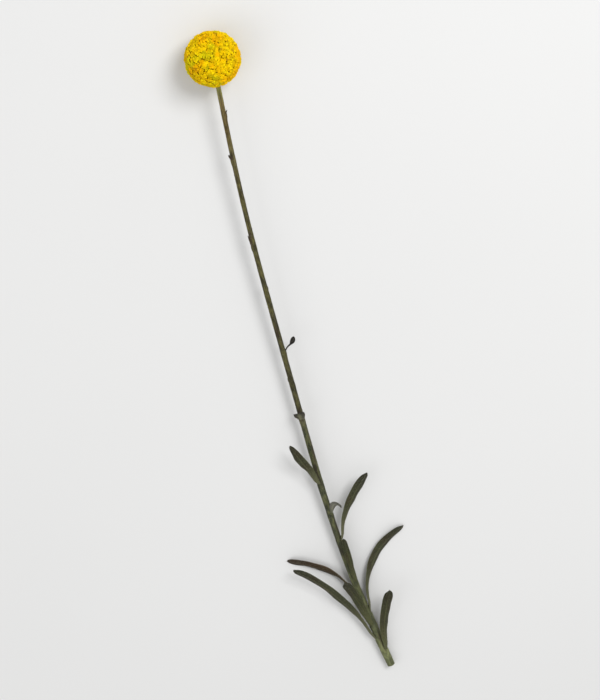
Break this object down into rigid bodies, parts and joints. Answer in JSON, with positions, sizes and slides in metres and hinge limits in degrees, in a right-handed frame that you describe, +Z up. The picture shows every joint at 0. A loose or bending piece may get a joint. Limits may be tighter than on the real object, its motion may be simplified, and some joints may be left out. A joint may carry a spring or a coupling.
{
  "type": "billy buttons stem",
  "caption": "Cut billy buttons stem lying on a surface: a round golden flower head of packed florets on a long bowed woolly stalk with narrow leaves towards its foot.",
  "frame": {"origin": "on the surface that the stem lies on, under the middle of its bounding box", "axes": "+Y along the stalk towards the flower head, +Z up from the surface, +X to the right seen from above with the head away"},
  "size_m": [0.0648, 0.353, 0.027],
  "materials": {
    "florets": "matte",
    "stalk": "matte",
    "leaf": "matte"
  },
  "bodies": {
    "root": {"flower_head": "florets", "stalk": "stalk", "leaf_1": "leaf", "leaf_2": "leaf", "leaf_3": "leaf", "leaf_4": "leaf", "leaf_5": "leaf", "leaf_6": "leaf", "leaf_7": "leaf", "leaf_8": "leaf"}
  },
  "joints": []
}
